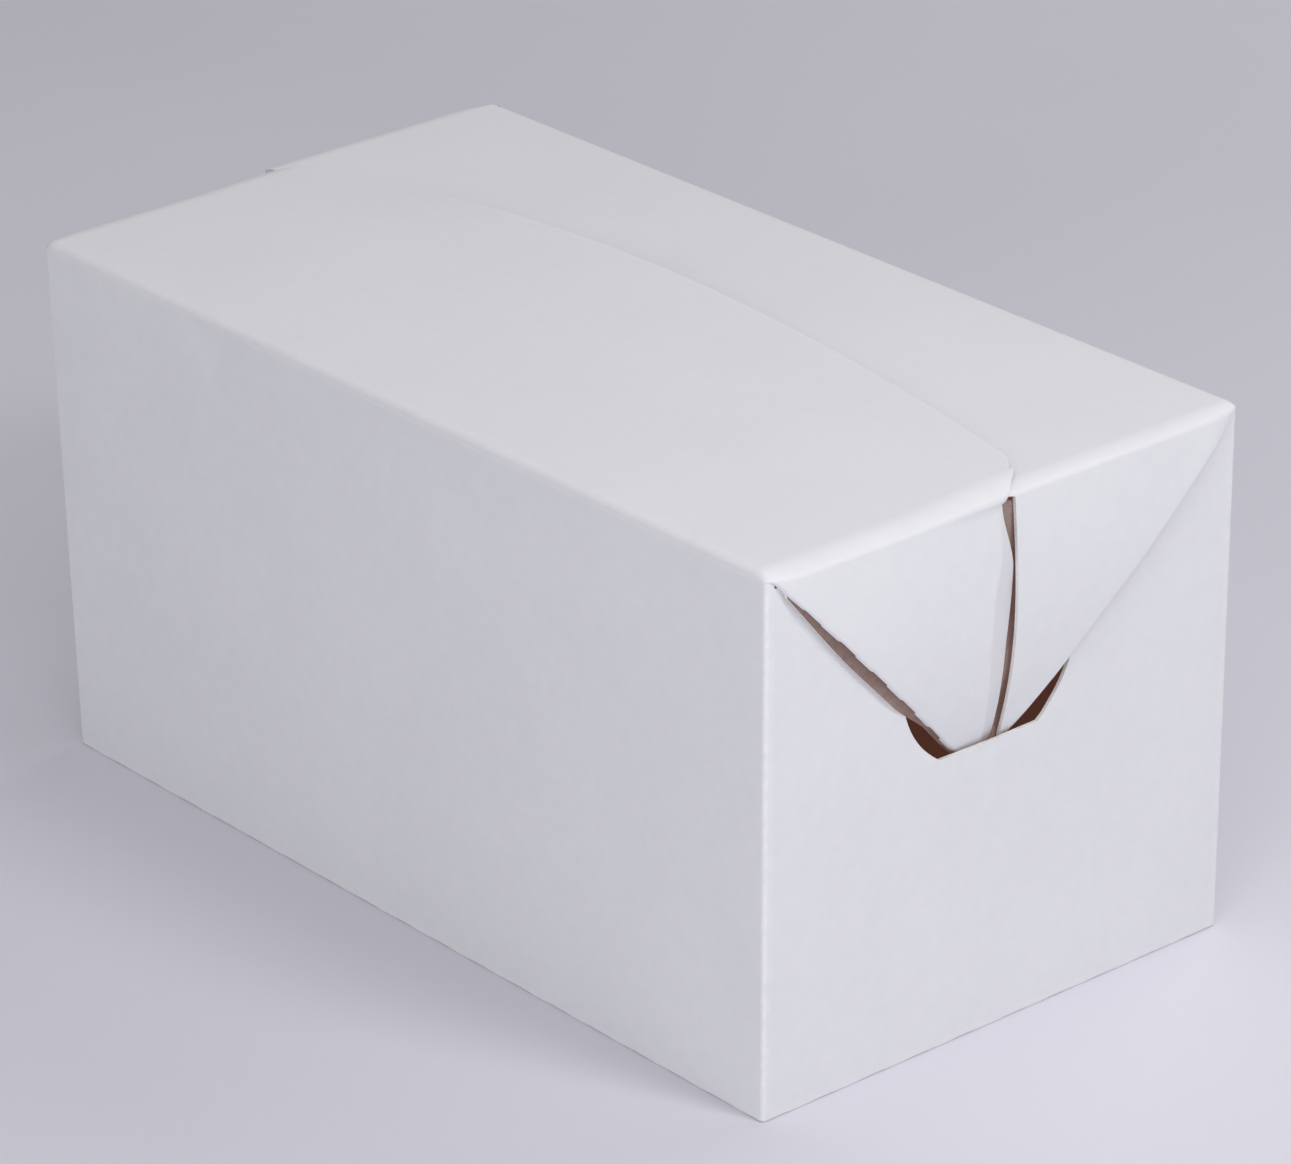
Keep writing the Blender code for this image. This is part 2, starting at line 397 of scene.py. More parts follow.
def kraft_material():
    """Uncoated face: brown-grey felt of long fibres, matte, with darker flecks."""
    material, tree, shader, place = new_material("uncoated_kraft_board")
    along = noise_texture(tree, place, 0.22 * MM, 5.0, (7, 1.2, 1.2))
    across = noise_texture(tree, place, 0.22 * MM, 5.0, (1.2, 6, 4))
    fibres = map_range(tree, add(tree, multiply(tree, along, 0.5), multiply(tree, across, 0.5)), 0.38, 0.64)
    cloud = map_range(tree, noise_texture(tree, place, 9 * MM, 3.0), 0.35, 0.7)
    fleck = map_range(tree, noise_texture(tree, place, 0.35 * MM, 2.0, (3, 1, 1)), 0.70, 0.76)
    body = colour_mix(tree, fibres, KRAFT_FACE, KRAFT_FIBRE)
    clouded = colour_mix(tree, multiply(tree, cloud, 0.35), body, KRAFT_CLOUD)
    flecked = colour_mix(tree, multiply(tree, fleck, 0.6), clouded, KRAFT_FLECK)
    tree.links.new(flecked, shader.inputs["Base Color"])
    tree.links.new(map_range(tree, fibres, 0.0, 1.0, 0.82, 0.95), shader.inputs["Roughness"])
    shader.inputs["Specular IOR Level"].default_value = 0.2
    tree.links.new(bump(tree, fibres, 0.03 * MM, 0.7), shader.inputs["Normal"])
    # A faint steady glow, in place of the daylight that thin board lets through.
    shader.inputs["Emission Color"].default_value = (*INNER_GLOW, 1.0)
    shader.inputs["Emission Strength"].default_value = 0.05
    return material


def core_material():
    """Raw cut edge: grey-brown plies with loose light fibres."""
    material, tree, shader, place = new_material("cut_board_core")
    plies = noise_texture(tree, place, 0.12 * MM, 4.0, (6, 6, 1))
    fuzz = noise_texture(tree, place, 0.3 * MM, 4.0)
    layered = colour_mix(tree, map_range(tree, plies, 0.35, 0.65), CORE_DARK, CORE_FACE)
    tree.links.new(layered, shader.inputs["Base Color"])
    tree.links.new(map_range(tree, fuzz, 0.3, 0.7, 0.8, 0.95), shader.inputs["Roughness"])
    shader.inputs["Specular IOR Level"].default_value = 0.2
    tree.links.new(bump(tree, fuzz, 0.05 * MM, 0.8), shader.inputs["Normal"])
    return material


def floor_material():
    """Smooth pale lavender-grey studio sheet, a little uneven in tone and tooth."""
    material, tree, shader, place = new_material("studio_sheet")
    tone = map_range(tree, noise_texture(tree, place, 160 * MM, 2.0), 0.3, 0.7)
    tooth = noise_texture(tree, place, 0.9 * MM, 4.0)
    darker = tuple(0.94 * channel for channel in FLOOR_TINT)
    tree.links.new(colour_mix(tree, tone, FLOOR_TINT, darker), shader.inputs["Base Color"])
    tree.links.new(map_range(tree, tooth, 0.3, 0.7, 0.6, 0.75), shader.inputs["Roughness"])
    shader.inputs["Specular IOR Level"].default_value = 0.3
    tree.links.new(bump(tree, tooth, 0.03 * MM, 0.4), shader.inputs["Normal"])
    return material


WHITE = white_board_material()
KRAFT = kraft_material()
CORE = core_material()


# ---------------------------------------------------------------- sheets of board


def sheet_face(sheet, grid, keep):
    """Makes the one face of a sheet from its grid; keep(row, column) says which cells there are."""
    # Per-point whitening for cracked coating and a painted highlight along folds and edges.
    wear_and_highlight_layer = sheet.verts.layers.float.new("wear_and_highlight")
    points = []
    for line in grid:
        made = []
        for point, wear_and_highlight in line:
            vertex = sheet.verts.new(point)
            vertex[wear_and_highlight_layer] = wear_and_highlight
            made.append(vertex)
        points.append(made)
    for row in range(len(grid) - 1):
        for column in range(len(grid[0]) - 1):
            if keep is None or keep(row, column):
                low, high = points[row], points[row + 1]
                sheet.faces.new((low[column], low[column + 1], high[column + 1], high[column]))
    loose = [vertex for vertex in sheet.verts if not vertex.link_faces]
    bmesh.ops.delete(sheet, geom=loose, context="VERTS")


def turn_outward(sheet, outward):
    sheet.normal_update()
    facing = sum((face.normal * face.calc_area() for face in sheet.faces), Vector())
    if facing.dot(Vector(outward)) < 0:
        bmesh.ops.reverse_faces(sheet, faces=sheet.faces)
        sheet.normal_update()


def thicken(sheet):
    """Adds the back face as material 1 and the rim round the edges as material 2."""
    wear_and_highlight_layer = sheet.verts.layers.float["wear_and_highlight"]
    front_faces = list(sheet.faces)
    rim = [edge for edge in sheet.edges if edge.is_boundary]
    back_of = {}
    for vertex in list(sheet.verts):
        back = sheet.verts.new(vertex.co - vertex.normal * BOARD)
        back[wear_and_highlight_layer] = vertex[wear_and_highlight_layer]
        back_of[vertex] = back
    for face in front_faces:
        behind = sheet.faces.new([back_of[vertex] for vertex in reversed(face.verts)])
        behind.material_index = 1
    for edge in rim:
        loop = edge.link_loops[0]
        first, second = loop.vert, loop.link_loop_next.vert
        side = sheet.faces.new((second, first, back_of[first], back_of[second]))
        side.material_index = 2


def sheet_mesh(name, grid, outward, keep=None, white_out=True):
    """Closed sheet from rows of (point, wear_and_highlight) on one face; that value whitens the coat as
    cracked coating and as a painted highlight.
    The board lies behind that face, away from outward, and white_out says whether that face is the coated
    one."""
    sheet = bmesh.new()
    sheet_face(sheet, grid, keep)
    turn_outward(sheet, outward)
    thicken(sheet)
    mesh = bpy.data.meshes.new(name)
    sheet.to_mesh(mesh)
    sheet.free()
    finish_mesh(mesh)
    for material in (WHITE, KRAFT, CORE) if white_out else (KRAFT, WHITE, CORE):
        mesh.materials.append(material)
    return mesh


def finish_mesh(mesh):
    mesh.shade_smooth()
    mesh.set_sharp_from_angle(angle=math.radians(38))


def board_piece(name, node, mesh):
    piece = bpy.data.objects.new(name, mesh)
    bpy.context.scene.collection.objects.link(piece)
    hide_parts(node)
    return piece


# ---------------------------------------------------------------- walls


def fold_share(place):
    """How round the bottom fold is: the cut stretches of its line are folded more sharply."""
    return mix(CUT_FOLD_SHARE, 1.0, crease_share(place))


def bottom_inset(height, share):
    """How far the wall's face has turned in at this height, on its fold to the base flap."""
    if height >= BOTTOM_ROLL:
        return 0.0
    return share * (BOTTOM_ROLL - math.sqrt(BOTTOM_ROLL**2 - (BOTTOM_ROLL - height) ** 2))


def flare(height):
    """The folded ends push the end walls apart a little towards the top."""
    return FLARE * min(max(height, 0.0) / TOP, 1.0)


def wall_heights(top):
    fold = [BOTTOM_ROLL * (1 - math.cos(math.radians(turn))) for turn in range(0, 91, 15)]
    return stations(0.0, top, WALL_STEP, extra=[height for height in fold if height], fine=(top,))


def long_wall_section():
    """Points along the outer face of a long wall, round both its corners: place along the
    wall, place out from the carton's middle plane, and how far the corner has turned."""
    reach = WALL_FACE - CORNER_ROLL
    flat = HALF_WIDTH - CORNER_ROLL
    corner = []
    for turn in CORNER_TURNS:
        angle = math.radians(turn)
        along = reach + CORNER_ROLL * math.sin(angle)
        out = flat + CORNER_ROLL * math.cos(angle)
        corner.append((along, out, angle))
    corner.append((WALL_FACE, flat - CORNER_LAP, math.pi / 2))
    marks = cut_marks(reach)
    middle = [(place, HALF_WIDTH, 0.0) for place in stations(-reach, reach, WALL_STEP, marks)]
    left = [(-along, out, -angle) for along, out, angle in reversed(corner)]
    return left + middle + corner


def front_dent(along, height):
    """Shallow triangular dent under the lid crease, near the left end."""
    drop = TOP - height
    half = DENT_HALF * (1 - drop / DENT_DROP)
    if half <= 0:
        return 0.0
    return smooth(half, half - 3 * MM, abs(along - DENT_PLACE)) * smooth(0.6 * MM, 2.5 * MM, drop)


def long_wall_swell(row, along, place, height, top, angle):
    """How far a long wall bulges out from flat; the front one has the dent too."""
    reach = WALL_FACE - CORNER_ROLL
    window = math.cos(math.pi * place / (2 * reach)) * hump(0, top, height)
    swell = window * (WALL_SWELL + WALL_WAVE * ripple((place, row * 0.02, height), WALL_WAVE_SIZE))
    if row < 0 and angle == 0:
        swell -= DENT_DEPTH * front_dent(along, height)
    return swell


def make_long_wall(row, name, node, top):
    """row is -1 for the front wall and 1 for the back one."""
    reach = WALL_FACE - CORNER_ROLL
    grid = []
    for height in wall_heights(top):
        line = []
        for along, out, angle in long_wall_section():
            place = min(max(along, -reach), reach)
            share = fold_share(place + LONG_RULE_SHIFT) if abs(place) < reach - 1.5 * MM else 1.0
            inset = bottom_inset(height, share)
            swell = long_wall_swell(row, along, place, height, top, angle)
            flat = out + swell - inset * math.cos(angle)
            along_flared = along * (1 + flare(height) / WALL_FACE)
            point = (along_flared - inset * math.sin(angle), row * flat, height)
            # Painted highlight and cracked coating: whiter round the rolled corners, along the bottom fold
            # and the top edge.
            wear_and_highlight = 0.9 * near(abs(angle) - math.pi / 4, math.pi / 3) * (angle != 0)
            wear_and_highlight = max(wear_and_highlight, 0.5 * near(height, 0.8 * MM), 0.5 * near(top - height, 0.5 * MM))
            line.append((point, wear_and_highlight))
        grid.append(line)
    piece = board_piece(name, node, sheet_mesh(name, grid, (0, row, 0)))
    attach(piece, "root")


def slot_points():
    """The slot's outline: its floor, a curved side, its top and the other side."""
    side = []
    corner = Vector((SLOT_FLOOR_HALF, SLOT_FLOOR - 0.2 * MM))
    crown = Vector((SLOT_TOP_HALF, SLOT_TOP))
    bulge = Vector((SLOT_TOP_HALF, (2 * SLOT_FLOOR + SLOT_TOP) / 3))
    for step in range(SLOT_SIDE_STEPS + 1):
        t = step / SLOT_SIDE_STEPS
        side.append((1 - t) ** 2 * corner + 2 * t * (1 - t) * bulge + t**2 * crown)
    right = [(SLOT_CENTRE + point.x, point.y) for point in side]
    left = [(SLOT_CENTRE - point.x, point.y) for point in reversed(side)]
    return right + left


def slot_cutter(end):
    """A block of the slot's outline through the end wall, all of it in the core's material."""
    block = bmesh.new()
    rings = []
    for depth in (WALL_FACE - 4 * MM, WALL_FACE + 4 * MM):
        ring = [block.verts.new((end * depth, across, height)) for across, height in slot_points()]
        rings.append(ring)
    count = len(rings[0])
    for index in range(count):
        after = (index + 1) % count
        block.faces.new((rings[0][index], rings[0][after], rings[1][after], rings[1][index]))
    block.faces.new(rings[0])
    block.faces.new(rings[1])
    bmesh.ops.recalc_face_normals(block, faces=block.faces)
    for face in block.faces:
        face.material_index = 2
    mesh = bpy.data.meshes.new("slot_cutter")
    block.to_mesh(mesh)
    block.free()
    for material in (WHITE, KRAFT, CORE):
        mesh.materials.append(material)
    cutter = bpy.data.objects.new("slot_cutter", mesh)
    bpy.context.scene.collection.objects.link(cutter)
    return cutter


def cut_slot(wall, end):
    """Cuts the mouth-shaped slot, and gives the cut the board's core."""
    cutter = slot_cutter(end)
    cut = wall.modifiers.new("slot", "BOOLEAN")
    cut.operation = "DIFFERENCE"
    cut.object = cutter
    graph = bpy.context.evaluated_depsgraph_get()
    wall.data = bpy.data.meshes.new_from_object(wall.evaluated_get(graph))
    wall.modifiers.clear()
    bpy.data.objects.remove(cutter)
    finish_mesh(wall.data)


def slot_ridge(across, height):
    """Faint pressed line down the middle, under the slot."""
    return hump(SLOT_FLOOR - 10 * MM, SLOT_FLOOR + 2 * MM, height) * near(across - SLOT_CENTRE, RIDGE_HALF)


def end_wall_swell(end, across, height, half, top):
    """How far an end wall bulges out: a slow wave, and more where the ears push under the slot."""
    window = math.cos(math.pi * across / (2 * half)) * hump(0, top, height)
    swell = window * END_WAVE * ripple((end * 0.03, across, height), END_WAVE_SIZE)
    below = smooth(SLOT_FLOOR - 16 * MM, SLOT_FLOOR, height) * (height < SLOT_FLOOR + 1 * MM)
    return swell + SLOT_BULGE * below * near(across - SLOT_CENTRE, SLOT_BULGE_HALF)


def make_end_wall(end, name, node):
    """end is -1 for the left wall and 1 for the right one."""
    half = HALF_WIDTH - CORNER_ROLL - CORNER_LAP
    top = GUSSET_CREASE - 0.2 * MM
    grid = []
    for height in wall_heights(top):
        line = []
        for across in stations(-half, half, 1.0 * MM, cut_marks(half)):
            share = fold_share(across + END_RULE_SHIFT) if abs(across) < half - 1.2 * MM else 1.0
            inset = bottom_inset(height, share)
            swell = end_wall_swell(end, across, height, half, top)
            ridge = slot_ridge(across, height)
            face = WALL_FACE + flare(height) + swell + RIDGE_HEIGHT * ridge
            point = (end * (face - inset), across, height)
            # Painted highlight and cracked coating along the bottom fold and the pressed line under the
            # slot.
            wear_and_highlight = max(0.5 * near(height, 0.8 * MM), 0.35 * ridge)
            line.append((point, wear_and_highlight))
        grid.append(line)
    piece = board_piece(name, node, sheet_mesh(name, grid, (end, 0, 0)))
    cut_slot(piece, end)
    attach(piece, "root")


# ---------------------------------------------------------------- lids


def soft_turn(row):
    """How far a lid's end bends softly before its sharp crease; the front lid's bends more."""
    return math.radians(30 if row < 0 else 22)


def end_run(row):
    """How far a lid's rounded end reaches from the flat of the lid to the face of its ear."""
    bend = math.sin(soft_turn(row))
    return SOFT_ROLL * bend + END_ROLL * (1 - bend)


def lid_rise(row, across, along):
    """The front lid climbs over the back lid's free edge, and less so at its left end."""
    height = mix(LEFT_LID_RISE, LID_RISE, smooth(-HALF_LENGTH, -HALF_LENGTH + 30 * MM, along))
    return height * smooth(-14 * MM, 0.5 * MM, across) if row < 0 else 0.0


def front_lid_edge(along):
    """Distance of the front lid's free edge from its crease."""
    arc_half = HALF_LENGTH - CORNER_CUT
    rise = ARC_PEAK - ARC_END
    radius = (arc_half**2 + rise**2) / (2 * rise)
    if abs(along) > arc_half:
        return ARC_END - (abs(along) - arc_half) * (ARC_END - HALF_WIDTH) / CORNER_CUT
    return ARC_PEAK - radius + math.sqrt(radius**2 - along**2)


def back_lid_edge(along):
    """Distance of the back lid's free edge from its crease; it is cut back at the left end."""
    uncut = smooth(-HALF_LENGTH, -HALF_LENGTH + 8 * MM, along)
    return HALF_WIDTH + mix(LEFT_LID_LAP, BACK_LID_LAP, uncut)


def lid_lift(row, along, across, share, flat_half):
    """How far a lid's face stands above flat: a slow wave, the lap, and the front lid's bow."""
    window = max(0.0, 1 - (along / flat_half) ** 2)
    lift = window * hump(0, 1.25, share) * LID_WAVE * ripple((along, across, 0), LID_WAVE_SIZE)
    lift += lid_rise(row, across, along)
    if row < 0:
        bow = math.exp(-(((along - LID_LIFT_AT) / LID_LIFT_SPREAD) ** 2))
        lift += LID_LIFT * window * bow * share**2.5
    return lift


def lid_crease_points(row, along, top):
    """The rolled long crease, from the wall's face up to the lid's."""
    points = []
    # Each crease point carries a painted highlight and cracked coating, strongest midway round the roll.
    for turn in (90, 75, 60, 45, 30, 15):
        angle = math.radians(turn)
        out = LID_ROLL * (1 - math.sin(angle))
        drop = LID_ROLL * (1 - math.cos(angle))
        points.append(((along, row * (HALF_WIDTH - out), top - drop), 0.25 * math.sin(2 * angle)))
    return points


def make_lid(row, name, node, top, ear_faces, edge):
    """A lid's flat and its rolled crease. row is -1 for the front lid and 1 for the back, and
    ear_faces are the distances of its left and of its right ear."""
    left, right = (face - end_run(row) for face in ear_faces)
    arc_half = HALF_LENGTH - CORNER_CUT
    shares = stations(0, 1, 1 / 26, extra=(0.985, 0.995))
    grid = []
    for along in stations(-left, right, FLAP_STEP, extra=(-arc_half, arc_half)):
        line = lid_crease_points(row, along, top)
        for share in shares:
            out = mix(LID_ROLL, edge(along), share)
            across = row * (HALF_WIDTH - out)
            lift = lid_lift(row, along, across, share, right)
            # Painted highlight and cracked coating along the lid's free edge.
            wear_and_highlight = 0.5 * near((1 - share) * edge(along), 0.3 * MM)
            line.append(((along, across, top + lift), wear_and_highlight))
        grid.append(line)
    piece = board_piece(name, node, sheet_mesh(name, grid, (0, 0, 1)))
    low = (0, row * HALF_WIDTH, top - LID_ROLL - 0.3 * MM)
    high = (0, row * (HALF_WIDTH - LID_ROLL - 0.4 * MM), top + 0.1 * MM)
    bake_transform(piece, "root", node, start=low, end=high)


# ---------------------------------------------------------------- ears and gussets


def gusset_tuck(height):
    """0 while the gusset lies on the wall, 1 where its tip is behind the slot's lower edge."""
    return 1 - smooth(TUCK_END, TUCK_START, height)


def diagonal(row, height):
    """Distance of the diagonal fold from the carton's side, at this height."""
    span = HALF_WIDTH - row * APEX_Y
    depth = max(0.0, TOP - DIAGONAL_TOP - height)
    blunt = BACK_TIP_BLUNT * smooth(SLOT_TOP, SLOT_FLOOR, height) if row > 0 else 0.0
    return span * depth / (APEX_DEPTH - DIAGONAL_TOP) - blunt


Ear = namedtuple("Ear", "end row face band_low band_length")
Place = namedtuple("Place", "out height angle length")


def ear_section(row, face, top):
    """Places down the lid's end and the ear: distance out, height, surface angle and length so
    far; and of these, the one where the lid's end has turned into the ear."""
    section = []
    start = face - end_run(row)
    bend = soft_turn(row)
    for step in range(7):
        angle = bend * step / 6
        out = start + SOFT_ROLL * math.sin(angle)
        height = top - SOFT_ROLL * (1 - math.cos(angle))
        section.append(Place(out, height, angle, SOFT_ROLL * angle))
    out, height, angle, length = section[-1]
    centre_out = out - END_ROLL * math.sin(angle)
    centre_height = height - END_ROLL * math.cos(angle)
    for step in range(1, 6):
        turned = mix(bend, math.pi / 2, step / 5)
        out = centre_out + END_ROLL * math.sin(turned)
        height = centre_height + END_ROLL * math.cos(turned)
        section.append(Place(out, height, turned, length + END_ROLL * (turned - bend)))
    band = section[-1]
    marks = [TOP + mark * DIAGONAL_DROP for mark in cut_marks(2 * APEX_DEPTH)]
    heights = stations(TUCK_TIP, band.height, 0.8 * MM, marks, fine=(TUCK_TIP,))
    for height in reversed(heights[:-1]):
        section.append(Place(face, height, math.pi / 2, band.length + band.height - height))
    return section, band


def ear_share(ear, place):
    """0 at the lid's end of the rounded band, 1 where it has turned into the ear."""
    return smooth(0, ear.band_length, place.length)


def ear_depth(ear, place):
    """0 at the top of the ear, 1 at the slot's lower edge."""
    return max((ear.band_low - place.height) / (ear.band_low - TUCK_END), 0.0)


def ear_side(ear, place):
    """Distance of the ear's diagonal side from the carton's side; the lid's end has none."""
    bend = soft_turn(ear.row)
    if place.angle <= bend:
        return 0.0
    return diagonal(ear.row, place.height) + EAR_CORNER * smooth(bend, math.pi / 2, place.angle)


def ear_free_edge(ear, place):
    """Distance of the ear's free edge from the carton's side."""
    turned = place.length / ear.band_length
    if ear.row > 0:
        lid_edge = back_lid_edge(ear.end * HALF_LENGTH)
        return mix(lid_edge, HALF_WIDTH - BACK_EAR_FREE, smooth(0.75, 0.95, turned))
    depth = ear_depth(ear, place)
    lid_edge = front_lid_edge(HALF_LENGTH - end_run(ear.row))
    free = mix(lid_edge, HALF_WIDTH + FRONT_EAR_FREE, min(turned, 1.0))
    return free + (1.75 * smooth(0, 0.3, depth) - 0.65 * smooth(0.3, 0.65, depth)) * MM


def strip_width(ear, place):
    """Width of the strip by the free edge, which the front half ear has creased inwards."""
    if ear.row > 0:
        return 1.0 * MM
    depth = ear_depth(ear, place)
    return (0.3 + 2.75 * smooth(0, 0.4, depth) - 1.1 * smooth(0.38, 1.0, depth)) * MM


def cut_relief(ear, place):
    """How much of the diagonal's fold is missing here: cut stretches are torn, not rolled."""
    torn = 1 + 0.8 * ripple((ear.end, ear.row, place.height / CUT_PITCH), 0.6)
    cut = 1 - crease_share((place.height - TOP) / DIAGONAL_DROP)
    return CUT_RELIEF * torn * smooth(0.5, 1.0, ear_share(ear, place)) * cut


def ear_point(ear, place, across, inward):
    """Point on the ear's face, which comes down to the wall's corner at its side."""
    depth = ear_depth(ear, place)
    lean = depth**TUCK_BEND * (ear.face - TUCKED_FACE)
    bow = (FRONT_EAR_BOW if ear.row < 0 else BACK_EAR_BOW) * hump(0, 1.1, depth)
    taper = (ear.face - EAR_CORNER_FACE) * smooth(EAR_TAPER, 0, across) * ear_share(ear, place)
    out = place.out - lean + bow - taper - inward * math.sin(place.angle)
    height = place.height - inward * math.cos(place.angle)
    return ear.end * out, ear.row * (HALF_WIDTH - across), height


def ear_face_point(ear, place, across, curl):
    """Point on the flat of the ear, or on the lid's end, which climbs as the lid does there."""
    climb = lid_rise(ear.row, ear.row * (HALF_WIDTH - across), ear.end * HALF_LENGTH)
    return ear_point(ear, place, across, curl - climb * max(0.0, math.cos(place.angle)))


def ear_fold_points(ear, place):
    """Points round the fold along the ear's side, and where the flat of the ear starts."""
    share = ear_share(ear, place)
    side = ear_side(ear, place)
    roll = mix(LID_ROLL, DIAGONAL_ROLL, share)
    slant = mix(1.0, math.sqrt(2), share)
    limit = mix(math.pi / 2, math.radians(150), share)
    relief = cut_relief(ear, place)
    points = []
    for step in range(FOLD_STEPS + 1):
        turn = limit * (1 - step / FOLD_STEPS)
        rolled = roll * slant * (1 - math.sin(turn))
        raw = roll * slant * (0.45 + 0.1 * step)
        inward = (1 - relief) * roll * (1 - math.cos(turn))
        # Painted highlight and cracked coating round the diagonal fold.
        wear_and_highlight = 0.3 * math.sin(min(turn, math.pi / 2))
        points.append((ear_point(ear, place, side + mix(rolled, raw, relief), inward), wear_and_highlight))
    return points, side + roll * slant


def ear_flat_points(ear, place, inner):
    """Points over the flat of the ear, and over the strip by its free edge."""
    free = ear_free_edge(ear, place)
    strip_line = max(free - strip_width(ear, place), inner)
    creased = ear.row < 0 and place.angle > soft_turn(ear.row)
    points = []
    for share in stations(0, 1, 1 / 22, extra=(0.985,))[1:]:
        points.append((ear_face_point(ear, place, mix(inner, strip_line, share), 0.0), 0.0))
    for share in stations(0, 1, 1 / 5, extra=(0.04, 0.95))[1:]:
        across = mix(strip_line, free, share)
        curl = STRIP_SLOPE * (across - strip_line) if creased else 0.0
        # Painted highlight and cracked coating by the strip's free edge.
        points.append((ear_face_point(ear, place, across, curl), 0.4 * near(1 - share, 0.15)))
    return points


def make_ear(end, row, name, node, lid, face, top):
    """A half ear with the rounded end of its lid and the fold along its diagonal."""
    section, band = ear_section(row, face, top)
    ear = Ear(end, row, face, band.height, band.length)
    grid = []
    for place in section:
        fold, inner = ear_fold_points(ear, place)
        grid.append(fold + ear_flat_points(ear, place, inner))
    piece = board_piece(name, node, sheet_mesh(name, grid, (end, 0, 0.3)))
    start = (end * (face - 1.4 * MM), 0, top)
    finish = (end * (face + 0.2 * MM), 0, top - 1.7 * MM)
    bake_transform(piece, lid, node, start=start, end=finish)


def gusset_section(centre, crest):
    """Over the top of the end wall and down its outside: place out and height."""
    section = []
    for turn in range(0, 181, 20):
        angle = math.radians(turn)
        section.append((centre - GUSSET_ROLL * math.cos(angle), crest + GUSSET_ROLL * math.sin(angle)))
    for height in reversed(stations(TUCK_TIP, crest, 1.2 * MM, fine=(TUCK_TIP,))[:-1]):
        hanging = WALL_FACE + flare(height) + CLEARANCE + GUSSET_ROLL
        lean = gusset_tuck(height) * (hanging - TUCKED_FACE + BOARD + CLEARANCE)
        section.append((hanging - lean, height))
    return section


def gusset_sides(height):
    """Where the gusset starts and ends across the wall; it reaches a little beyond the front ear's diagonal,
    where its brown stands in as a painted shadow band.
    """
    # Painted shadow: the brown gusset band reaching out beyond the front ear's diagonal.
    shadow_band = GUSSET_SHADOW_BAND * smooth(TUCK_TIP + 5 * MM, TUCK_TIP + 10 * MM, height)
    shadow_band *= smooth(TOP, TOP - 14 * MM, height)
    low = max(GUSSET_FRONT_CORNER, diagonal(-1, height) + 0.3 * MM - shadow_band)
    high = max(GUSSET_BACK_CORNER, diagonal(1, height) + 0.5 * MM)
    return low - HALF_WIDTH, HALF_WIDTH - high


def make_gusset(end, name, node):
    """The web behind the two half ears, with its brown face out and its roll over the wall."""
    centre = WALL_FACE + flare(GUSSET_CREASE) + CLEARANCE
    crest = GUSSET_CREASE - 0.2 * MM
    grid = []
    for out, height in gusset_section(centre, crest):
        low, high = gusset_sides(height)
        line = [((end * out, across, height), 0.0) for across in stations(low, high, (high - low) / 30)]
        grid.append(line)
    mesh = sheet_mesh(name, grid, (end, 0, 0), white_out=False)
    piece = board_piece(name, node, mesh)
    start = (end * (centre - 0.3 * MM), 0, crest + 0.1 * MM)
    finish = (end * (centre + 0.45 * MM), 0, crest - 0.1 * MM)
    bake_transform(piece, "root", node, start=start, end=finish)


# ---------------------------------------------------------------- base and seam


def tongue_lift(along):
    return TONGUE_REST * smooth(FRONT_FLAP_EDGE, TONGUE_RAMP_END, along)


def make_front_base_flap():
    """The outer flap; its tongue rises through the notch and lies on the back flap."""
    half = WALL_FACE - BOTTOM_ROLL
    start = -HALF_WIDTH + BOTTOM_ROLL
    columns = stations(-half, half, 1.8 * MM, extra=(-TONGUE_HALF, TONGUE_HALF), fine=(-half, half))
    rows = stations(start, TONGUE_TIP, FLAP_STEP, extra=(FRONT_FLAP_EDGE,))
    grid = []
    for along in rows:
        line = []
        for across in columns:
            relief = FLAP_RELIEF * smooth(start, FRONT_FLAP_EDGE, along) * abs(across) / half
            tip = smooth(TONGUE_TIP - TONGUE_TIP_CUT, TONGUE_TIP, along) * TONGUE_TIP_CUT / TONGUE_HALF
            inward = relief if abs(across) > TONGUE_HALF else abs(across) * tip
            sag = FLAP_SAG * (1 + ripple((across, along, 0.01), FRONT_FLAP_WAVE_SIZE))
            sag *= smooth(start, start + 6 * MM, along)
            place = across - math.copysign(inward, across)
            line.append(((place, along, sag + tongue_lift(along)), 0.0))
        grid.append(line)

    def on_flap(row, column):
        within = abs(columns[column] + columns[column + 1]) / 2 < TONGUE_HALF
        return rows[row + 1] <= FRONT_FLAP_EDGE + 1e-7 or within

    mesh = sheet_mesh("outer_base_panel", grid, (0, 0, -1), on_flap)
    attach(board_piece("outer_base_panel", "front_base_flap", mesh), "root")


def make_back_base_flap():
    """The inner flap, with the notch that the tongue comes up through."""
    half = WALL_FACE - BOTTOM_ROLL
    start = HALF_WIDTH - BOTTOM_ROLL
    columns = stations(-half, half, 1.8 * MM, extra=(-NOTCH_HALF, NOTCH_HALF), fine=(-half, half))
    rows = stations(BACK_FLAP_EDGE, start, FLAP_STEP, extra=(NOTCH_FLOOR,))
    grid = []
    for along in rows:
        line = []
        for across in columns:
            relief = FLAP_RELIEF * smooth(start, BACK_FLAP_EDGE, along) * across / half
            rise = BACK_FLAP_REST * smooth(start, start - 5 * MM, along)
            wave = BACK_FLAP_WAVE * ripple((across, along, 0.05), BACK_FLAP_WAVE_SIZE)
            wave *= smooth(start, start - 6 * MM, along)
            line.append(((across - relief, along, rise + wave), 0.0))
        grid.append(line)

    def on_flap(row, column):
        outside = abs(columns[column] + columns[column + 1]) / 2 > NOTCH_HALF
        return rows[row] >= NOTCH_FLOOR - 1e-7 or outside

    mesh = sheet_mesh("inner_base_panel", grid, (0, 0, -1), on_flap)
    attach(board_piece("inner_base_panel", "back_base_flap", mesh), "root")


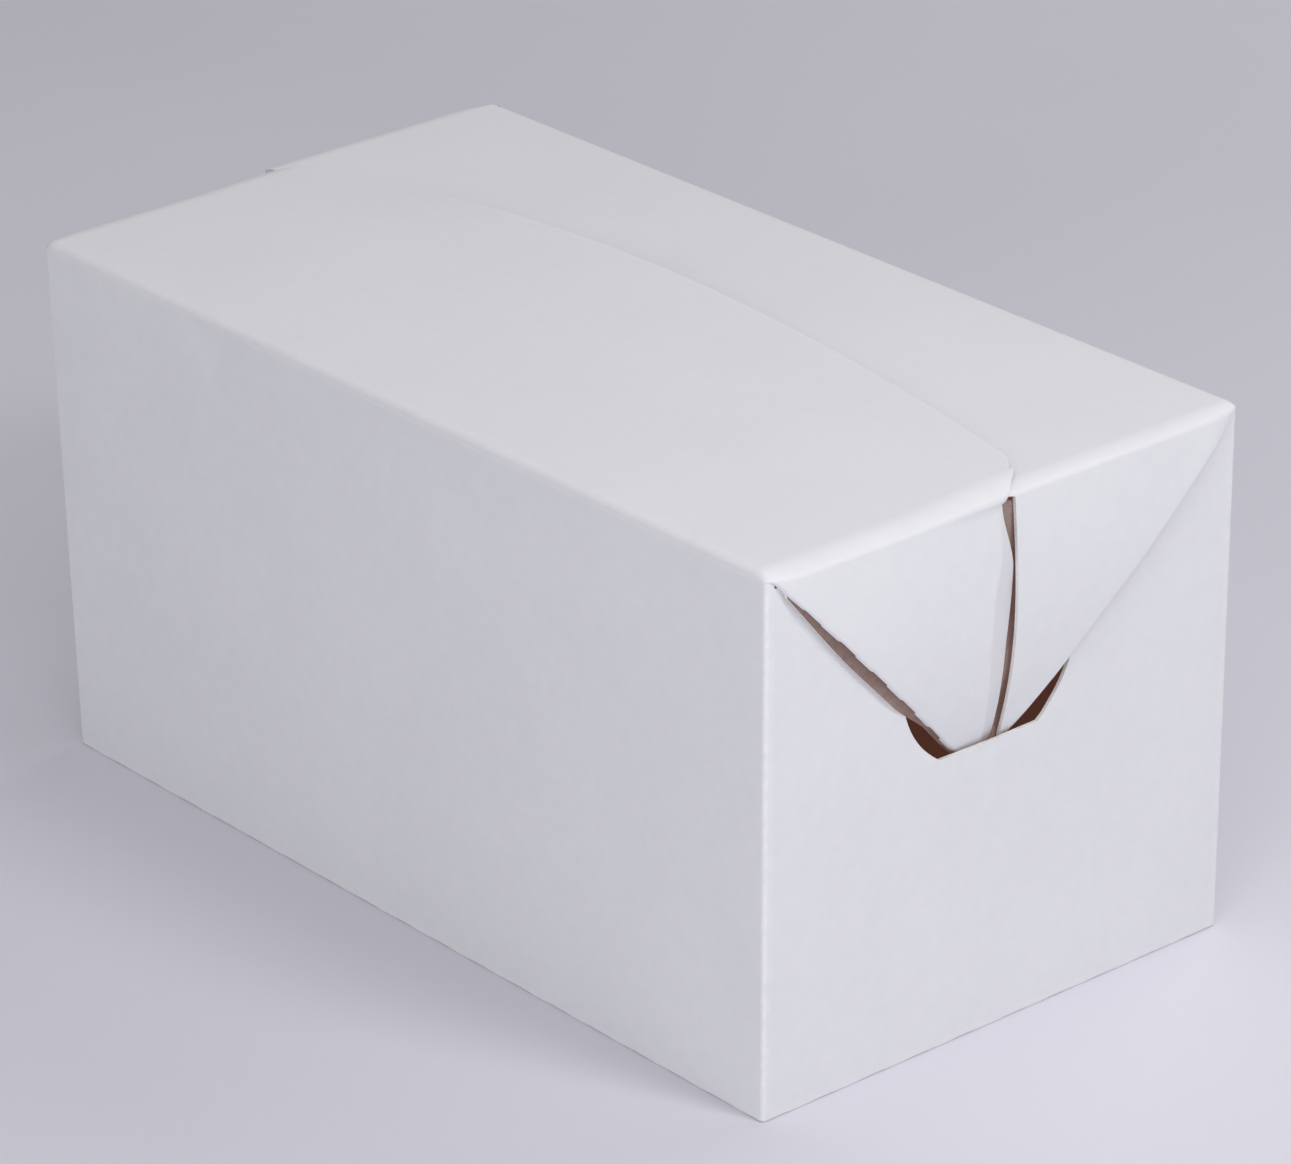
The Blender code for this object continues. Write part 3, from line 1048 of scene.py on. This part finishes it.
def make_end_base_flap(end, name, node):
    half = HALF_WIDTH - BOTTOM_ROLL
    start = WALL_FACE - BOTTOM_ROLL
    grid = []
    for reach in stations(0, END_FLAP_REACH, FLAP_STEP, fine=(0, END_FLAP_REACH)):
        wide = mix(half - 0.4 * MM, END_FLAP_TIP_HALF, reach / END_FLAP_REACH)
        rise = END_FLAP_REST * smooth(0, 5 * MM, reach)
        line = []
        for share in stations(-1, 1, 1 / 18):
            wave = END_FLAP_WAVE * ripple((end * reach, share * wide, 0.09), END_FLAP_WAVE_SIZE)
            wave *= smooth(0, 6 * MM, reach)
            line.append(((end * (start - reach), share * wide, rise + wave), 0.0))
        grid.append(line)
    mesh = sheet_mesh(name, grid, (0, 0, -1))
    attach(board_piece(name, node, mesh), "root")


def make_seam_strip():
    """The strip that runs on from the back wall, glued inside the left end wall."""
    face = WALL_FACE - BOARD - CLEARANCE
    back, free = HALF_WIDTH - BOARD, SEAM_LOW.y
    low, high = SEAM_LOW.z, SEAM_HIGH.z
    grid = []
    for share in stations(0, 1, 1 / 12):
        across = mix(back, free, share)
        cut = SEAM_CUT * share
        line = []
        for rise in stations(0, 1, 1 / 40):
            height = mix(low + cut, high - cut, rise)
            lift = 0.10 * MM * max(0.0, ripple((0, across, height), 12 * MM)) * share
            line.append(((-face + lift, across, height), 0.0))
        grid.append(line)
    mesh = sheet_mesh("seam_strip", grid, (-1, 0, 0))
    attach(board_piece("seam_strip", "glue_seam_flap", mesh), "root")


# ---------------------------------------------------------------- studio


def make_floor():
    floor = bpy.data.meshes.new("studio_floor")
    sheet = bmesh.new()
    bmesh.ops.create_grid(sheet, x_segments=8, y_segments=8, size=FLOOR_HALF)
    sheet.to_mesh(floor)
    sheet.free()
    floor.materials.append(floor_material())
    obj = bpy.data.objects.new("studio_floor", floor)
    bpy.context.scene.collection.objects.link(obj)


def soft_light(name, direction, distance, size, power):
    data = bpy.data.lights.new(name, "AREA")
    data.shape = "DISK"
    data.size = size
    data.energy = power
    light = bpy.data.objects.new(name, data)
    towards = Vector(direction).normalized()
    light.location = towards * distance
    light.rotation_euler = towards.to_track_quat("Z", "Y").to_euler()
    bpy.context.scene.collection.objects.link(light)


def light_studio():
    world = bpy.data.worlds.new("studio")
    world.use_nodes = True
    background = world.node_tree.nodes["Background"]
    background.inputs["Color"].default_value = (*WORLD_TINT, 1.0)
    background.inputs["Strength"].default_value = WORLD_STRENGTH
    bpy.context.scene.world = world
    soft_light("key_softbox", (0.70, 0.10, 0.70), 0.50, 0.12, 0.65)
    soft_light("front_softbox", (0.50, -0.80, 0.35), 0.50, 0.35, 0.53)
    soft_light("top_softbox", (0.45, -0.35, 0.80), 0.65, 0.35, 0.50)
    soft_light("back_softbox", (-0.05, 0.66, 0.58), 0.80, 0.50, 0.95)
    bpy.context.scene.view_settings.view_transform = "Standard"


def add_camera():
    towards = Vector(
        (
            math.sin(VIEW_AZIMUTH) * math.cos(VIEW_ELEVATION),
            -math.cos(VIEW_AZIMUTH) * math.cos(VIEW_ELEVATION),
            math.sin(VIEW_ELEVATION),
        )
    )
    camera = bpy.data.objects.new("camera", bpy.data.cameras.new("camera"))
    camera.data.lens = VIEW_LENS
    camera.data.sensor_width = 36
    camera.data.clip_start = 0.01
    level = towards.to_track_quat("Z", "Y").to_matrix()
    turned = level @ Matrix.Rotation(-VIEW_ROLL, 3, "Z")
    camera.matrix_world = Matrix.Translation(VIEW_TARGET + VIEW_DISTANCE * towards) @ turned.to_4x4()
    bpy.context.scene.collection.objects.link(camera)
    bpy.context.scene.camera = camera


def make_carton():
    make_long_wall(-1, "front_wall_panel", "front_wall", TOP - LID_ROLL)
    make_long_wall(1, "back_wall_panel", "back_wall", BACK_LID_TOP - LID_ROLL)
    front_ears = (FRONT_EAR_FACE, FRONT_EAR_FACE)
    back_ears = (LEFT_BACK_EAR_FACE, BACK_EAR_FACE)
    make_lid(-1, "outer_lid_panel", "front_lid", TOP, front_ears, front_lid_edge)
    make_lid(1, "inner_lid_panel", "back_lid", BACK_LID_TOP, back_ears, back_lid_edge)
    ends = ((-1, "left"), (1, "right"))
    for (end, side), front_face, back_face in zip(ends, front_ears, back_ears):
        front, back = "front_" + side + "_ear", "back_" + side + "_ear"
        make_end_wall(end, side + "_end_panel", side + "_end_wall")
        make_ear(end, -1, side + "_outer_ear_fold", front, "front_lid", front_face, TOP)
        make_ear(end, 1, side + "_inner_ear_fold", back, "back_lid", back_face, BACK_LID_TOP)
        make_gusset(end, side + "_web_panel", side + "_gusset")
        make_end_base_flap(end, side + "_base_panel", side + "_base_flap")
    make_front_base_flap()
    make_back_base_flap()
    make_seam_strip()


make_carton()
make_floor()
light_studio()
add_camera()
